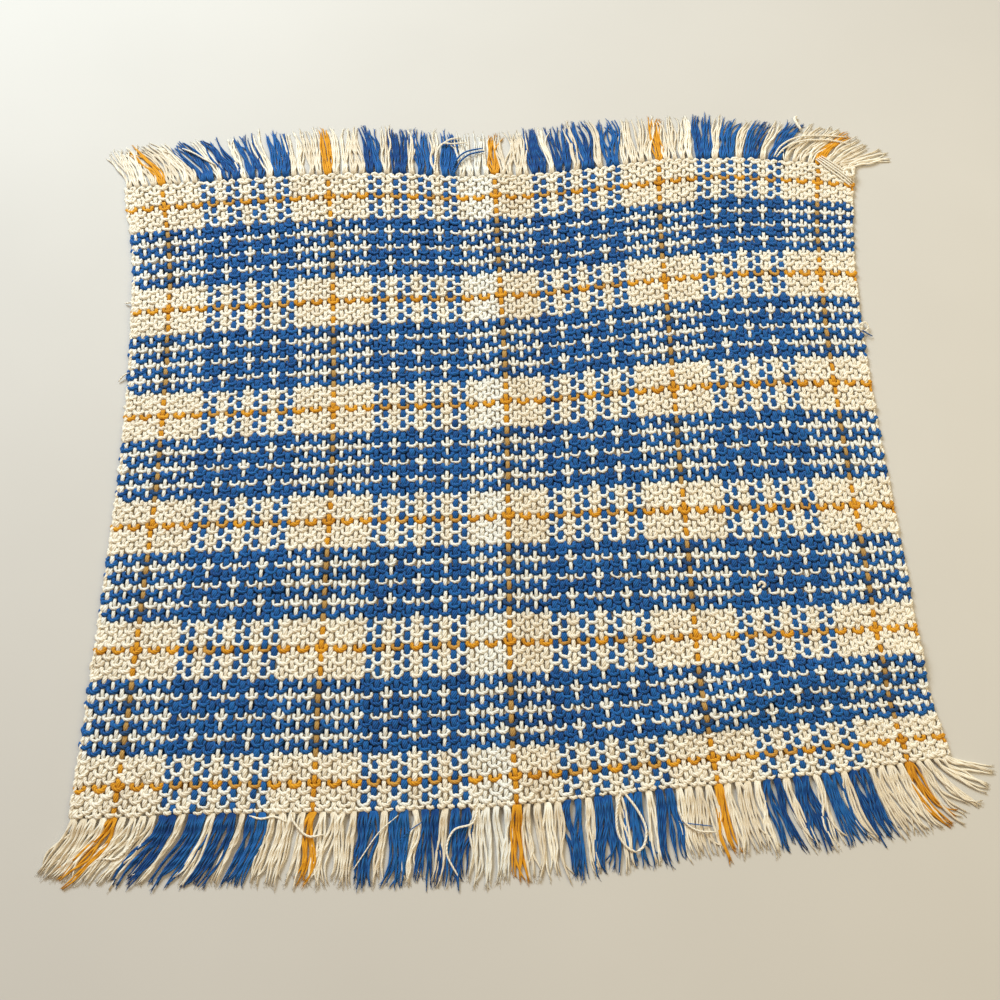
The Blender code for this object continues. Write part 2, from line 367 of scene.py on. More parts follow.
class Yarns:
    """Many lengths of yarn collected into one mesh."""

    def __init__(self):
        self.groups = []

    def add(self, paths, wide, tall, section=ROUND_YARN, shade=0.5, dull=0.0, twist=1.0):
        """Add tubes along paths, given as an array of tubes by points by three."""
        section = np.array(section, dtype=float)
        shape = paths.shape[:2]
        wide = np.broadcast_to(wide, shape)
        tall = np.broadcast_to(tall, shape)
        tangent = np.gradient(paths, axis=1)
        tangent /= np.linalg.norm(tangent, axis=2)[..., None]
        aside = np.cross(tangent, (0.0, 0.0, 1.0))
        aside /= np.linalg.norm(aside, axis=2)[..., None]
        up = np.cross(aside, tangent)
        across = (wide[..., None] * section[:, 0])[..., None] * aside[:, :, None, :]
        over = (tall[..., None] * section[:, 1])[..., None] * up[:, :, None, :]
        points = paths[:, :, None, :] + across + over
        points[..., 2] = np.maximum(points[..., 2], 0.0)
        steps = np.linalg.norm(np.diff(paths, axis=1), axis=2)
        along = np.concatenate((np.zeros((len(paths), 1)), np.cumsum(steps, axis=1)), axis=1)
        around = 2 * math.pi * float(wide.mean())
        shade = np.broadcast_to(shade, shape)
        dull = np.broadcast_to(dull, shape)
        self.groups.append(Tubes(points, along, around, twist, shade, dull))

    def build(self, name, material):
        """The object of all the yarns, which rides on the part's one body."""
        areas = [tubes.along[:, -1].sum() * tubes.around for tubes in self.groups]
        tops = np.cumsum(areas) / sum(areas)
        points, faces, yarn_corners, bake_corners = [], [], [], []
        start = 0
        low = 0.0
        for tubes, high in zip(self.groups, tops):
            own_points = tubes.points.reshape(-1, 3)
            yarn, bake = tube_coordinates(tubes, low, high)
            points.append(own_points)
            faces.extend(tube_faces(tubes, start))
            yarn_corners.append(yarn)
            bake_corners.append(bake)
            start += len(own_points)
            low = high
        mesh = bpy.data.meshes.new(name)
        mesh.from_pydata(np.concatenate(points).tolist(), [], faces)
        for layer, corners in (("Yarn", yarn_corners), ("OFBake", bake_corners)):
            uv = mesh.uv_layers.new(name=layer)
            uv.data.foreach_set("uv", np.concatenate(corners).astype(np.float32).ravel())
        # The shade includes painted shade, and the cream's duller tint includes painted light by the
        # crease
        for layer in ("shade", "dull"):
            values = [np.repeat(getattr(t, layer).reshape(-1), t.points.shape[2]) for t in self.groups]
            attribute = mesh.attributes.new(layer, "FLOAT", "POINT")
            attribute.data.foreach_set("value", np.concatenate(values).astype(np.float32))
        mesh.shade_smooth()
        mesh.materials.append(material)
        piece = bpy.data.objects.new(name, mesh)
        bpy.context.scene.collection.objects.link(piece)
        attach(piece, "root")
        return piece


# The yarns' colours: light; dark, also used for painted shade; duller, for the cream also painted light
Colour = namedtuple("Colour", "letter name slot light dark dulled")
COLOURS = (
    Colour("c", "cream", "cream_yarn", (1.0, 0.95, 0.825), (0.75, 0.655, 0.51), (0.86, 0.90, 0.90)),
    Colour("b", "blue", "blue_yarn", (0.016, 0.142, 0.440), (0.004, 0.044, 0.190), (0.020, 0.045, 0.090)),
    Colour("g", "gold", "gold_yarn", (0.80, 0.38, 0.022), (0.50, 0.20, 0.010), (0.42, 0.27, 0.10)),
)


class Nodes:
    """A short way to write a material's nodes."""

    def __init__(self, name):
        self.material = bpy.data.materials.new(name)
        self.material.use_nodes = True
        self.tree = self.material.node_tree
        self.shader = self.tree.nodes["Principled BSDF"]

    def add(self, kind, settings=None, **inputs):
        """A new node. An input is a value or another node's output, an underscore is a space."""
        node = self.tree.nodes.new(kind)
        for key, value in (settings or {}).items():
            setattr(node, key, value)
        for key, value in inputs.items():
            numbered = key.startswith("in") and key[2:].isdigit()
            socket = int(key[2:]) if numbered else key.replace("_", " ")
            self.put(node.inputs[socket], value)
        return node

    def put(self, socket, value):
        """Link a value's node to a socket, or set the socket's own value."""
        if isinstance(value, bpy.types.NodeSocket):
            self.tree.links.new(value, socket)
        else:
            socket.default_value = value

    def math(self, operation, first, second=0.0, third=0.0):
        """One Math node's result."""
        node = self.add("ShaderNodeMath", {"operation": operation}, in0=first, in1=second, in2=third)
        return node.outputs[0]

    def mix(self, share, first, second):
        """Two colours mixed."""
        node = self.add("ShaderNodeMix", {"data_type": "RGBA"}, in0=share, in6=first, in7=second)
        return node.outputs[2]

    def noise(self, scale, detail):
        """Noise from 0 to 1 through the whole object."""
        where = self.add("ShaderNodeTexCoord").outputs["Object"]
        return self.add("ShaderNodeTexNoise", Vector=where, Scale=scale, Detail=detail).outputs["Fac"]

    def attribute(self, name):
        """A number kept at the mesh's points."""
        return self.add("ShaderNodeAttribute", {"attribute_name": name}).outputs["Fac"]

    def shift(self, value, share, amount):
        """A value moved up or down by a share from 0 to 1, over the given amount in all."""
        return self.math("ADD", value, self.math("MULTIPLY_ADD", share, amount, -amount / 2))

    def bump(self, height, strength, distance):
        """Relief on the surface."""
        node = self.add("ShaderNodeBump", Height=height, Strength=strength, Distance=distance)
        self.put(self.shader.inputs["Normal"], node.outputs[0])

    def finish(self, values):
        """Numbers that are the same all over the surface, set on the shader's own sockets."""
        for name, value in values.items():
            self.shader.inputs[name].default_value = value


# The twist of a yarn's plies, the size of its fibres and patches, and how far each of
# them moves the yarn's shade; the plies' grooves are darkened as painted shade
PLY_LENGTH_MM = 5.0
PLY_TURNS_MM = 4.6
PLY_GROOVE_PAINTED_SHADE = 1.0
FIBRE_SCALE = 1500.0
FIBRE_DETAIL = 2.0
FIBRE_TONE = 0.3
PATCH_SCALE = 35.0
PATCH_DETAIL = 1.0
PATCH_TONE = 0.5

# The relief of plies and fibres, and the dry finish of the yarn
FIBRE_RELIEF = 0.7
YARN_RELIEF = 0.85
YARN_RELIEF_HEIGHT = 0.7 * MM
YARN_FINISH = {
    "Roughness": 0.92,
    "Specular IOR Level": 0.15,
    "Sheen Weight": 0.08,
    "Sheen Roughness": 0.6,
}


def yarn_material(colour):
    """Fluffy plied yarn: twisted grooves with painted shade, fine fibres and a shade that varies yarn by
    yarn.
    """
    nodes = Nodes(colour.name + "_yarn")
    on_yarn = nodes.add("ShaderNodeUVMap", {"uv_map": "Yarn"}).outputs[0]
    place_on_yarn = nodes.add("ShaderNodeSeparateXYZ", Vector=on_yarn)
    turns = nodes.math("DIVIDE", place_on_yarn.outputs[0], PLY_TURNS_MM)
    lengths = nodes.math("DIVIDE", place_on_yarn.outputs[1], PLY_LENGTH_MM)
    phase = nodes.math("MULTIPLY", nodes.math("ADD", turns, lengths), 2 * math.pi)
    ply = nodes.math("MULTIPLY_ADD", nodes.math("SINE", phase), 0.5, 0.5)
    fibre = nodes.noise(FIBRE_SCALE, FIBRE_DETAIL)
    patch = nodes.noise(PATCH_SCALE, PATCH_DETAIL)
    light = nodes.shift(nodes.attribute("shade"), patch, PATCH_TONE)
    light = nodes.shift(light, fibre, FIBRE_TONE)
    # The plies' grooves darkened: painted shade
    light = nodes.shift(light, ply, PLY_GROOVE_PAINTED_SHADE)
    base = nodes.mix(nodes.math("MAXIMUM", light, 0.0), colour.dark + (1,), colour.light + (1,))
    # Duller beside other colours; for the cream this also adds the painted light left of the crease
    tinted = nodes.mix(nodes.attribute("dull"), base, colour.dulled + (1,))
    nodes.put(nodes.shader.inputs["Base Color"], tinted)
    relief = nodes.math("ADD", ply, nodes.math("MULTIPLY", fibre, FIBRE_RELIEF))
    nodes.bump(relief, YARN_RELIEF, YARN_RELIEF_HEIGHT)
    nodes.finish(YARN_FINISH)
    return nodes.material


MATERIALS = {colour.letter: yarn_material(colour) for colour in COLOURS}


def add_strands(columns, rows, chance, yarns):
    """The doubled yarns of columns that all float over the given rows."""
    rings = np.array(FLOAT)
    each_float = (len(columns), len(rows), 1)
    sway = chance.normal(0, FLOAT_SWAY, each_float)
    turn = chance.normal(0, FLOAT_TURN, each_float) * rings[:, 0]
    slide = chance.normal(0, FLOAT_SLIDE, each_float)
    plump = 1 + chance.normal(0, FLOAT_UNEVEN, each_float)
    columns_at = columns[:, None, None] + sway + turn
    rows_at = rows[None, :, None] + rings[:, 0] + slide
    paths = lay(columns_at, rows_at, rings[:, 1] * MM).reshape(len(columns), -1, 3)

    letters = colour_of(columns)
    cream = (letters == "c")[:, None, None]
    among_blue = in_blue_band(rows)[None, :, None]
    outer = (columns == FIRST_COLUMN) | (columns == LAST_COLUMN)
    swell = np.array([FLOAT_SWELL[letter] for letter in letters])
    swell = swell * np.where(outer, OUTER_FLOAT_SWELL, 1.0)
    plump = plump * swell[:, None, None] * np.where(cream & among_blue, CREAM_SWELL_AMONG_BLUE, 1.0)

    # Painted shade darkens the yarns right of the crease, and painted light whitens the cream left of it
    painted_lit, shaded = crease_painted_light_and_shade(columns[:, None, None])
    tone = FLOAT_TONE + chance.normal(0, FLOAT_TONE_UNEVEN, each_float) - CREASE_SHADE * shaded
    beside_blue = np.array([DULLED.get(letter + "b", 0.0) for letter in letters])[:, None, None]
    dull = np.where(among_blue, beside_blue, 0.0)
    dull = np.where(cream, np.maximum(dull, CREASE_PAINTED_LIGHT * painted_lit), dull)
    wide, tall, shade, dull = (
        np.broadcast_to(values, (len(columns), len(rows), len(rings))).reshape(len(columns), -1)
        for values in (rings[:, 2] * plump * MM, rings[:, 3] * MM, np.clip(tone, 0, 1), dull)
    )
    yarns.add(paths, wide, tall, DOUBLE_YARN, shade, dull)


def strand_paths(columns, chance, yarns):
    """The doubled yarns of the given columns, over one row and under the next."""
    for parity in (0, 1):
        chosen = columns[np.mod(columns, 2) == parity]
        if len(chosen):
            add_strands(chosen, ROWS[np.mod(ROWS + parity, 2) == 1], chance, yarns)


def stitch_swell(row_at, own, crossed):
    """How much thicker than usual the stitches are."""
    swell = np.array([STITCH_SWELL[letter] for letter in crossed.ravel()])[:, None]
    slim = (own == "c") & in_blue_band(row_at)
    middle = (np.mod(row_at, len(REPEAT)) == MIDDLE_LINE) & (crossed == "b")
    swell = swell * np.where(slim, CREAM_SWELL_AMONG_BLUE, 1.0)
    return swell * np.where(middle, MIDDLE_LINE_SWELL, 1.0)


def stitch_dullness_and_painted_light(row_at, own, crossed, painted_lit):
    """How much duller the stitches look among other colours, and how far painted light whitens the cream
    beside the crease.
    """
    dull = np.where((own == "b") & (crossed == "g"), DULLED["bg"], 0.0)
    dull = np.where((own == "c") & ((crossed == "b") | in_blue_band(row_at)), DULLED["cb"], dull)
    dull = np.where((own == "g") & (crossed == "b"), GOLD_STITCH_DULLED, dull)
    return np.where(own == "c", np.maximum(dull, CREASE_PAINTED_LIGHT * painted_lit), dull)


def stitch_paths(rows, chance, yarns):
    """The stitches of the given rows, one over every second column."""
    row_numbers, column_numbers = np.meshgrid(rows, COLUMNS, indexing="ij")
    cells = np.mod(row_numbers + column_numbers, 2) == 0
    row_at, column_at = row_numbers[cells][:, None], column_numbers[cells][:, None]
    left = np.array(STITCH)
    right = left[-2::-1] * (-1, 1, 1, 1)
    knots = np.concatenate((left, right))
    count = len(row_at)
    slide = chance.normal(0, STITCH_SLIDE, (count, 2, 1))
    size = 1 + chance.normal(0, STITCH_UNEVEN, (count, 1))
    columns_at = column_at + knots[:, 0] + slide[:, 0]
    rows_at = row_at + knots[:, 1] * size + slide[:, 1]
    paths = lay(columns_at, rows_at, knots[:, 2] * MM)
    paths = paths + chance.normal(0, WOBBLE, paths.shape)

    crossed, own = colour_of(column_at), colour_of(row_at)
    # Painted shade darkens the stitches right of the crease, and painted light whitens the cream ones
    # left of it
    painted_lit, shaded = crease_painted_light_and_shade(column_at)
    swell = stitch_swell(row_at, own, crossed)
    radius = knots[:, 3] * MM * swell * (1 + chance.normal(0, STITCH_YARN_UNEVEN, (count, 1)))
    radius = radius * (1 + chance.normal(0, STITCH_LUMPS, (count, len(knots))))
    tone = STITCH_TONE + chance.normal(0, STITCH_TONE_UNEVEN, (count, 1)) - CREASE_SHADE * shaded
    dull = stitch_dullness_and_painted_light(row_at, own, crossed, painted_lit)
    yarns.add(
        paths, radius * STITCH_WIDE, radius * STITCH_TALL, ROUND_YARN, np.clip(tone, 0, 1), dull
    )


def make_body(pieces):
    """The woven strands and the rows' stitches, in pieces by colour and by half."""
    middle_column, middle_row = np.median(COLUMNS), np.median(ROWS)
    for number, colour in enumerate(COLOURS):
        own_columns = COLUMNS[colour_of(COLUMNS) == colour.letter]
        own_rows = ROWS[colour_of(ROWS) == colour.letter]
        parts = {"": (own_columns, own_rows)}
        if colour.letter == "c":
            parts = {
                "_1": (own_columns[own_columns < middle_column], own_rows[own_rows < middle_row]),
                "_2": (own_columns[own_columns >= middle_column], own_rows[own_rows >= middle_row]),
            }
        for part, (ending, (columns, rows)) in enumerate(parts.items()):
            chance = np.random.default_rng((BODY_SEED, number, part))
            strands = Yarns()
            strand_paths(columns, chance, strands)
            material = MATERIALS[colour.letter]
            pieces.append(strands.build(f"column_strands_{colour.name}{ending}", material))
            stitches = Yarns()
            stitch_paths(rows, chance, stitches)
            pieces.append(stitches.build(f"row_stitches_{colour.name}{ending}", material))


# The fringe: how many yarns hang from a column, and how they lie from root to tip, with
# lengths along them as shares of a yarn and distances across them in millimetres
YARN_ENDS = {"g": 7, "c": 5, "b": 6}
FRINGE_RINGS = 15
FRINGE_TWIST = 0.3
FAR_FRINGE_SEED = 31
NEAR_FRINGE_SEED = 37

# Its yarns' thickness, which tapers at the cut ends
FRINGE_RADIUS = 1.8 * MM
FRINGE_UNEVEN = 0.07
TAPER_START = 0.75
TAPER = 0.6

# Its shade, by colour, by bundle and by yarn, with the cream darker than in the body as painted shade
FRINGE_TONE = {"g": 0.95, "c": 0.36, "b": 0.5}
BUNDLE_TONE_UNEVEN = 0.3
FRINGE_TONE_UNEVEN = 0.14

# How a column's yarns lie beside each other, and where they have changed places
ROOT_SPACING = 1.3
TIP_SPACING = {"g": 2.5, "c": 2.5, "b": 2.6}
PLACES_CHANGED = 1.1
CHANGING_PACE = 1.4

# How far a bundle and its single yarns bend, wave, ripple and part at the tips
BUNDLE_SWAY = 3.5
BUNDLE_BEND = 2.6
BUNDLE_WAVE = 1.6
YARN_BEND = 1.3
YARN_WAVE = 1.0
YARN_RIPPLE = 0.7
TIP_SCATTER = 2.2

# The share of yarns whose tip curls aside, from where, how far, and how that shortens them
CURL_SHARE = 0.16
CURL_START = 0.7
CURL_SIZE = 8
CURL_SHORTENS = 0.4
CUT_SHORT = 1.5
CUT_UNEVEN = 0.05

# How the yarns come down from inside the hem and lie on the surface and on each other
ROOT_ROWS_INSIDE = 0.35
ROOT_LIFT = 3.8 * MM
SETTLED_AT = 0.35
LYING_LIFT = 1.7 * MM
PILED_LIFT = 2.6 * MM
TIP_SINKS = 0.4
LIFT_UNEVEN = 0.25 * MM
HUMP = 1.3 * MM
HUMP_END = 0.25

# The frayed fibres at each tip
WISPS = 2
WISP_RINGS = 4
WISP_SHORTEST = 7
WISP_LONGEST = 14
WISP_SPREAD = 1.8
WISP_RADIUS = 0.8 * MM
WISP_TIP_RADIUS = 0.15 * MM


def ease(t):
    """From nothing to one without corners."""
    t = np.clip(t, 0, 1)
    return t * t * (3 - 2 * t)


def past(start, t):
    """From nothing at a start to one at the tip."""
    return np.clip((t - start) / (1 - start), 0, 1)


def add_wisps(paths, chance, shade, yarns):
    """The frayed fibres at the tips of the given yarns."""
    way = paths[:, -1] - paths[:, -3]
    way /= np.linalg.norm(way, axis=1)[:, None]
    square = np.stack((way[:, 1], -way[:, 0]), axis=-1)
    start = paths[:, -2]
    count = len(paths)
    s = np.linspace(0, 1, WISP_RINGS)
    thin = np.broadcast_to(WISP_RADIUS + (WISP_TIP_RADIUS - WISP_RADIUS) * s, (count, WISP_RINGS))
    for _ in range(WISPS):
        length = chance.uniform(WISP_SHORTEST, WISP_LONGEST, (count, 1)) * MM
        spread = chance.normal(0, WISP_SPREAD, (count, 1)) * MM
        x = start[:, :1] + way[:, :1] * length * s + square[:, :1] * spread * s ** 2
        y = start[:, 1:2] + way[:, 1:2] * length * s + square[:, 1:2] * spread * s ** 2
        z = start[:, 2:] * (1 - s) + WISP_RADIUS * s
        yarns.add(np.stack((x, y, z), axis=-1), thin, thin, WISP, shade)


def spread_bundle(letter, t, chance):
    """How far a column's yarns lie from its middle line, before the tips curl."""
    count = YARN_ENDS[letter]
    order = np.arange(count) - (count - 1) / 2
    at_tip = np.argsort(np.argsort(order + chance.normal(0, PLACES_CHANGED, count))) + order[0]
    changed = ease(t * CHANGING_PACE)
    spacing = ROOT_SPACING + (TIP_SPACING[letter] - ROOT_SPACING) * ease(t / SETTLED_AT)
    across = (order[:, None] * (1 - changed) + at_tip[:, None] * changed) * spacing
    across = across + chance.normal(0, BUNDLE_BEND) * np.sin(math.pi * t) * t
    across = across + chance.normal(0, BUNDLE_WAVE) * np.sin(2 * math.pi * t)
    across = across + chance.normal(0, YARN_BEND, (count, 1)) * np.sin(math.pi * t)
    across = across + chance.normal(0, YARN_WAVE, (count, 1)) * np.sin(2 * math.pi * t)
    across = across + chance.normal(0, YARN_RIPPLE, (count, 1)) * np.sin(4 * math.pi * t)
    return across + chance.normal(0, TIP_SCATTER, (count, 1)) * t ** 2


def hang_bundle(column, letter, hem, outward, lean, chance):
    """The paths of one column's yarns beyond a hem, lying on the surface."""
    t = np.linspace(0, 1, FRINGE_RINGS)
    count = YARN_ENDS[letter]
    aside, out = lean
    across = spread_bundle(letter, t, chance)
    curls = chance.random((count, 1)) < CURL_SHARE
    curled = np.where(curls, chance.normal(0, CURL_SIZE, (count, 1)), 0.0)
    across = across + curled * past(CURL_START, t) ** 2
    length = out * (1 + chance.normal(0, CUT_UNEVEN, (count, 1))) - CUT_SHORT
    length = length - CURL_SHORTENS * abs(curled)
    way = np.stack((aside * LEAN_BEND * np.sqrt(t), np.full_like(t, outward * out)), axis=-1)
    way /= np.linalg.norm(way, axis=1)[:, None]
    root = lay(column, hem - outward * ROOT_ROWS_INSIDE, 0.0)
    x = root[0] + (aside * t ** LEAN_BEND + across * way[:, 1] * outward) * MM
    y = root[1] + (outward * length * t - across * way[:, 0] * outward) * MM
    settled = ease(t / SETTLED_AT)
    lying = LYING_LIFT + PILED_LIFT * chance.permutation(count)[:, None] / (count - 1)
    hump = HUMP * np.sin(math.pi * np.minimum(t / HUMP_END, 1))
    z = (root[2] + ROOT_LIFT) * (1 - settled) + lying * settled * (1 - TIP_SINKS * t) + hump
    return np.stack((x, y, z + chance.normal(0, LIFT_UNEVEN, (count, 1))), axis=-1)


def fringe_yarns(columns, hem, outward, leans, chance, yarns):
    """The cut ends of the given columns' yarns beyond a hem."""
    t = np.linspace(0, 1, FRINGE_RINGS)
    stations = [lean.column for lean in leans]
    for column in columns:
        letter = REPEAT[column % len(REPEAT)]
        each_yarn = (YARN_ENDS[letter], 1)
        aside, out = smooth(stations, [lean[1:] for lean in leans], np.array([column]))[0]
        aside += chance.normal(0, BUNDLE_SWAY)
        # Painted shade darkens the bundles right of the crease, and painted light whitens the cream ones
        # left of it
        painted_lit, shaded = crease_painted_light_and_shade(column)
        tone = FRINGE_TONE[letter] + chance.normal(0, BUNDLE_TONE_UNEVEN) - CREASE_SHADE * shaded
        dull = CREASE_PAINTED_LIGHT * painted_lit if letter == "c" else 0.0
        paths = hang_bundle(column, letter, hem, outward, (aside, out), chance)
        radius = FRINGE_RADIUS * (1 - TAPER * past(TAPER_START, t))
        radius = radius * (1 + chance.normal(0, FRINGE_UNEVEN, each_yarn))
        shade = np.clip(tone + chance.normal(0, FRINGE_TONE_UNEVEN, each_yarn), 0, 1)
        yarns.add(paths, radius, radius, ROUND_YARN, shade, dull, FRINGE_TWIST)
        add_wisps(paths, chance, shade, yarns)


def make_fringe(name, node, hem, outward, leans, seed, pieces):
    """One fringe in a piece for each colour, which together stand for the hem's solid."""
    for number, colour in enumerate(COLOURS):
        columns = COLUMNS[colour_of(COLUMNS) == colour.letter]
        yarns = Yarns()
        fringe_yarns(columns, hem, outward, leans, np.random.default_rng((seed, number)), yarns)
        piece = yarns.build(f"{name}_{colour.name}", MATERIALS[colour.letter])
        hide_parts(node)
        pieces.append(piece)


# Which yarn shows at the end of each row of the repeat: one yarn of a cream and blue pair
# is carried up the edge and covers the other's turn, at the left and right by turns
LEFT_TURNS = "cccccbbccccbbccccccc"
RIGHT_TURNS = "ggccccccbbccccbbcccc"

# One row's turn along the left edge, which covers half of the outer column, and along
# the right one, where the outer column shows whole
LEFT_ARC = (
    Knot(0.16, -0.72, 3.6, 1.6),
    Knot(0.10, -0.36, 5.2, 2.4),
    Knot(0.06, 0.0, 5.6, 2.7),
    Knot(0.10, 0.36, 5.2, 2.4),
    Knot(0.16, 0.72, 3.6, 1.6),
)
RIGHT_ARC = (
    Knot(0.06, -0.70, 2.6, 1.3),
    Knot(-0.02, -0.34, 3.9, 2.0),
    Knot(-0.05, 0.0, 4.2, 2.2),
    Knot(-0.02, 0.34, 3.9, 2.0),
    Knot(0.06, 0.70, 2.6, 1.3),
)
# One chain stitch of each hem, between two columns
NEAR_HEM_ARC = (
    Knot(-0.40, -0.34, 3.8, 1.9),
    Knot(-0.26, 0.02, 5.0, 2.8),
    Knot(0.0, 0.16, 5.8, 3.1),
    Knot(0.26, 0.04, 5.0, 2.8),
    Knot(0.40, -0.30, 3.8, 1.9),
)
FAR_HEM_ARC = (
    Knot(-0.46, 0.28, 3.8, 1.8),
    Knot(-0.28, -0.02, 5.0, 2.4),
    Knot(0.0, -0.14, 5.5, 2.6),
    Knot(0.28, -0.02, 5.0, 2.4),
    Knot(0.46, 0.28, 3.8, 1.8),
)


# How uneven the turns and the chains are: shifts in columns, and shares of their size
TURN_SLIDE = 0.05
TURN_UNEVEN = 0.1
CHAIN_SLIDE = 0.07
CHAIN_UNEVEN = 0.13
CHAIN_WIDTH_UNEVEN = 0.12
ARC_LUMPS = 0.08
ARC_TONE = 0.6
ARC_TONE_UNEVEN = 0.16
EDGE_SEED = 23


def add_arcs(paths, arc, uneven, chance, yarns):
    """Lumpy short yarns of one arc's thickness along the given paths."""
    radius = arc[:, 3] * MM * (1 + chance.normal(0, uneven, (len(paths), 1)))
    radius = radius * (1 + chance.normal(0, ARC_LUMPS, (len(paths), len(arc))))
    shade = np.clip(ARC_TONE + chance.normal(0, ARC_TONE_UNEVEN, (len(paths), 1)), 0, 1)
    paths = paths + chance.normal(0, WOBBLE, paths.shape)
    yarns.add(paths, radius, radius * STITCH_TALL, ROUND_YARN, shade)


def add_turns(letter, chance, yarns):
    """The turns of one colour at the ends of the rows, along both sides."""
    sides = ((LEFT_EDGE, 1, LEFT_TURNS, LEFT_ARC), (RIGHT_EDGE, -1, RIGHT_TURNS, RIGHT_ARC))
    for edge, way, turns, arc in sides:
        rows = ROWS[np.array(list(turns))[np.mod(ROWS, len(turns))] == letter][:, None]
        if len(rows):
            arc = np.array(arc)
            shift = chance.normal(0, TURN_SLIDE, (len(rows), 1))
            paths = lay(edge + way * arc[:, 0] + shift, rows + arc[:, 1], arc[:, 2] * MM)
            add_arcs(paths, arc, TURN_UNEVEN, chance, yarns)


def add_chains(chance, yarns):
    """The chain stitches along both hems, one between each column and the next."""
    columns = COLUMNS[:-1, None] + HALF_PITCH
    for hem, arc in ((NEAR_HEM, NEAR_HEM_ARC), (FAR_HEM, FAR_HEM_ARC)):
        arc = np.array(arc)
        shift = chance.normal(0, CHAIN_SLIDE, (len(columns), 2, 1))
        swell = 1 + chance.normal(0, CHAIN_WIDTH_UNEVEN, (len(columns), 1))
        along = columns + arc[:, 0] * swell + shift[:, 0]
        paths = lay(along, hem + arc[:, 1] + shift[:, 1], arc[:, 2] * MM)
        add_arcs(paths, arc, CHAIN_UNEVEN, chance, yarns)


def make_edges(pieces):
    """The turns at both sides, by colour, and the chains along the hems in cream."""
    for number, colour in enumerate(COLOURS):
        chance = np.random.default_rng((EDGE_SEED, number))
        yarns = Yarns()
        add_turns(colour.letter, chance, yarns)
        if colour.letter == "c":
            add_chains(chance, yarns)
        pieces.append(yarns.build(f"edge_stitches_{colour.name}", MATERIALS[colour.letter]))


# Single yarns that lie across the fringe or the cloth: points in millimetres to
# the right and beyond the centre, before the shift, and above the surface
Stray = namedtuple("Stray", "letter radius points")
STRAYS = (
    Stray("c", 1.5, ((-340, -484, 5), (-325, -488, 7), (-308, -486, 7), (-292, -493, 6))),
    Stray("c", 1.6, ((-288, -478, 6), (-284, -492, 8), (-266, -510, 8), (-246, -509, 6))),
    Stray("c", 1.5, ((-476, -484, 5), (-482, -510, 6.5), (-500, -530, 5), (-520, -531, 3))),
    Stray("c", 1.4, ((-50, -478, 6), (-58, -500, 7.5), (-82, -508, 7.5), (-91, -534, 6), (-75, -566, 2))),
    Stray("c", 1.7, ((133, -462, 6), (152, -488, 7.5), (162, -512, 7), (158, -532, 6), (148, -540, 4))),
    Stray("c", 1.7, ((134, -464, 6), (126, -490, 7.5), (126, -516, 7), (136, -533, 6), (148, -540, 5))),
    Stray("b", 0.7, ((203, -505, 6), (224, -508, 7), (247, -511, 6))),
    Stray("c", 1.3, ((205, -488, 6), (212, -505, 7), (228, -516, 7), (252, -518, 6))),
    Stray("b", 0.7, ((-120, -496, 6), (-136, -506, 7), (-152, -520, 6))),
    Stray("c", 0.8, ((-152, -488, 6), (-176, -508, 7), (-196, -535, 6), (-208, -552, 3))),
    Stray("b", 1.4, ((-76, 492, 6), (-68, 516, 7.5), (-52, 532, 8), (-24, 540, 7))),
    Stray("b", 1.4, ((-72, 490, 6), (-62, 512, 8), (-46, 527, 8), (-22, 534, 7))),
    Stray("c", 1.4, ((-104, 488, 6), (-98, 536, 7), (-80, 556, 7), (-62, 562, 5))),
    Stray("c", 1.3, ((-104, 505, 6), (-94, 546, 7), (-72, 548, 8), (-50, 552, 6))),
    Stray("c", 1.4, ((-508, 545, 5), (-488, 534, 7), (-470, 522, 7), (-452, 512, 6))),
    Stray("c", 2.4, ((497, 603, 3), (492, 596, 5), (495, 584, 6), (500, 574, 5))),
    Stray("c", 1.5, ((448, 520, 6), (462, 540, 8), (490, 556, 8), (530, 561, 6), (575, 560, 3))),
    Stray("c", 1.5, ((452, 519, 6), (468, 536, 8), (498, 549, 8), (540, 552, 6), (580, 546, 3))),
    Stray("c", 1.3, ((516, 514, 7), (532, 494, 9), (550, 476, 9), (566, 460, 7))),
    Stray("c", 1.3, ((519, 516, 7), (536, 497, 9.5), (554, 479, 9.5), (569, 464, 7))),
    Stray("c", 1.3, ((522, 518, 7), (539, 500, 9.5), (557, 482, 9.5), (571, 468, 7))),
    Stray("c", 1.3, ((526, 520, 7), (543, 503, 9), (560, 486, 9), (573, 472, 7))),
    Stray("c", 2.7, (
        (556, 480, 6), (560, 492, 8), (571, 492, 9), (572, 481, 9), (563, 478, 10), (562, 488, 10),
    )),
    Stray("c", 2.1, ((341, -198, 6), (345, -193, 9), (350, -197, 9), (346, -201, 7))),
    Stray("c", 1.9, ((187, -377, 6), (191, -372, 9), (196, -376, 9), (192, -380, 7))),
    Stray("c", 1.4, ((541, 208, 7), (552, 212, 7), (556, 204, 5), (549, 198, 5), (541, 201, 7))),
    Stray("b", 1.0, ((545, 198, 8), (553, 193, 6), (562, 191, 2))),
    Stray("c", 1.2, ((-556, 268, 7), (-564, 262, 5), (-572, 263, 2))),
    Stray("c", 1.2, ((-552, 143, 7), (-561, 139, 5), (-568, 131, 2))),
)
STRAY_RINGS_PER_POINT = 4
STRAY_END = 0.6
STRAY_DARKEST = 0.5
STRAY_LIGHTEST = 0.9
STRAY_SEED = 41


